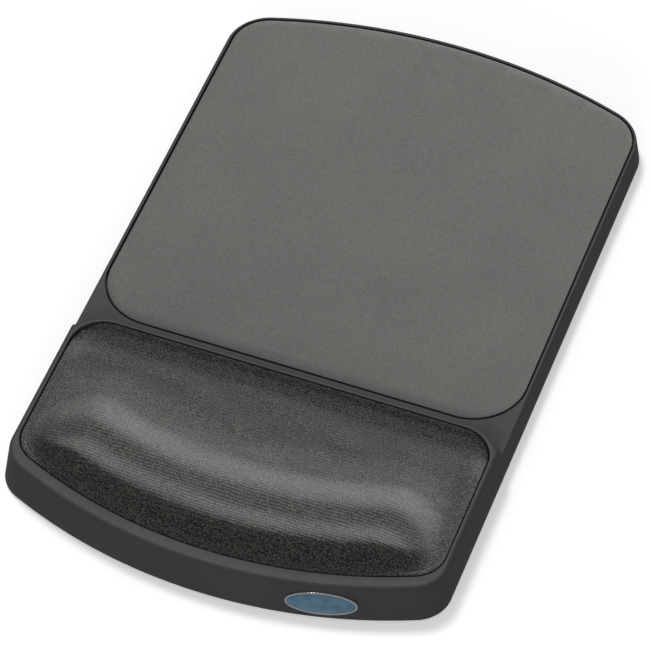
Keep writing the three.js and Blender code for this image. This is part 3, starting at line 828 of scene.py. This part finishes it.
NODE_MATERIALS = {
    "base_plastic": moulded_plastic("base_plastic", (0.034, 0.034, 0.037), (0.042, 0.042, 0.045), 0.55),
    "inner_plastic": moulded_plastic("inner_plastic", (0.022, 0.022, 0.024), (0.030, 0.030, 0.032), 0.5),
    "rubber_feet": plain_rubber("foot_rubber", (0.009, 0.009, 0.009)),
    "pad_backing": plain_rubber("foam_rubber", (0.008, 0.008, 0.008)),
    "gel": plain_rubber("gel_core", (0.08, 0.11, 0.13)),
    "steel": zinc_steel(),
}
replaced = {node for _, node, _, _ in STAND_INS}
for entry in frame["record"]["subparts"]:
    if entry["node"] not in replaced:
        dress(frame["nodes"][entry["node"]], NODE_MATERIALS[entry["material_slot"]])


# ---- floor, light and camera --------------------------------------------------------------
FLOOR_HALF = 3000
LIGHT_DISTANCE = 2500
SURROUND = 0.29


def build_floor():
    corners = [(x * FLOOR_HALF, y * FLOOR_HALF, 0) for x, y in ((-1, -1), (1, -1), (1, 1), (-1, 1))]
    floor = new_object("floor", corners, [(0, 1, 2, 3)])
    g = Graph("floor_paper")
    color = g.ramp(g.noise(0.01, 2), [(0.3, (0.96, 0.96, 0.96)), (0.7, (0.98, 0.98, 0.98))])
    g.set(Emission_Color=(1, 1, 1, 1), Emission_Strength=0.34, Specular_IOR_Level=0.1)
    g.finish(color, 0.9)
    g.clear_from_behind()
    floor.data.materials.append(g.material)
    floor.visible_glossy = False


def area_light(name, azimuth, elevation, size, power, glossy=True):
    """A soft box aimed at the tray from an azimuth (0 is the front, 90 the right)."""
    data = bpy.data.lights.new(name, "AREA")
    data.shape = "RECTANGLE"
    data.size, data.size_y = (length * MM for length in size)
    data.energy = power
    light = bpy.data.objects.new(name, data)
    turn, rise = math.radians(azimuth), math.radians(elevation)
    away = Vector((math.sin(turn) * math.cos(rise), -math.cos(turn) * math.cos(rise), math.sin(rise)))
    light.location = away * LIGHT_DISTANCE * MM
    light.rotation_euler = away.to_track_quat("Z", "Y").to_euler()
    light.visible_glossy = glossy
    bpy.context.scene.collection.objects.link(light)
    return light


def light_only(light, pieces):
    """Keeps a light on some pieces, as flags round a soft box would."""
    lit = bpy.data.collections.new("lit_by_" + light.name)
    light.light_linking.receiver_collection = lit
    for piece in pieces:
        lit.objects.link(piece)


def build_light(tray, cloths):
    area_light("key", 235, 68, (500, 500), 25)
    area_light("fill", 8, 12, (1500, 500), 28, glossy=False)
    light_only(area_light("rear", 172, 14, (3000, 600), 215), cloths)
    light_only(area_light("overhead", 200, 60, (900, 500), 44), [tray])
    world = bpy.data.worlds.new("studio")
    world.use_nodes = True
    background = world.node_tree.nodes["Background"]
    background.inputs["Color"].default_value = (1, 1, 1, 1)
    background.inputs["Strength"].default_value = SURROUND
    bpy.context.scene.world = world
    bpy.context.scene.view_settings.view_transform = "Standard"


CAMERA_AZIMUTH = 19.67
CAMERA_ELEVATION = 50.62
CAMERA_ROLL = -0.93
CAMERA_DISTANCE = 1411
CAMERA_AIM = (-2.61, -4.05)  # across and up from the origin, in the picture plane
FOCAL_LENGTH = 223.6
SENSOR = 36


def build_camera():
    turn, rise, roll = (math.radians(a) for a in (CAMERA_AZIMUTH, CAMERA_ELEVATION, CAMERA_ROLL))
    right = Vector((math.cos(turn), math.sin(turn), 0))
    back = Vector((math.sin(turn) * math.cos(rise), -math.cos(turn) * math.cos(rise), math.sin(rise)))
    up = back.cross(right)
    rolled_right = right * math.cos(roll) - up * math.sin(roll)
    rolled_up = right * math.sin(roll) + up * math.cos(roll)
    data = bpy.data.cameras.new("camera")
    data.lens = FOCAL_LENGTH
    data.sensor_width = SENSOR
    camera = bpy.data.objects.new("camera", data)
    place = rolled_right * CAMERA_AIM[0] + rolled_up * CAMERA_AIM[1] + back * CAMERA_DISTANCE
    axes = Matrix((rolled_right, rolled_up, back)).transposed().to_4x4()
    camera.matrix_world = Matrix.Translation(place * MM) @ axes
    bpy.context.scene.collection.objects.link(camera)
    bpy.context.scene.camera = camera


build_floor()
build_light(tray, [cushion, pad_cloth])
build_camera()
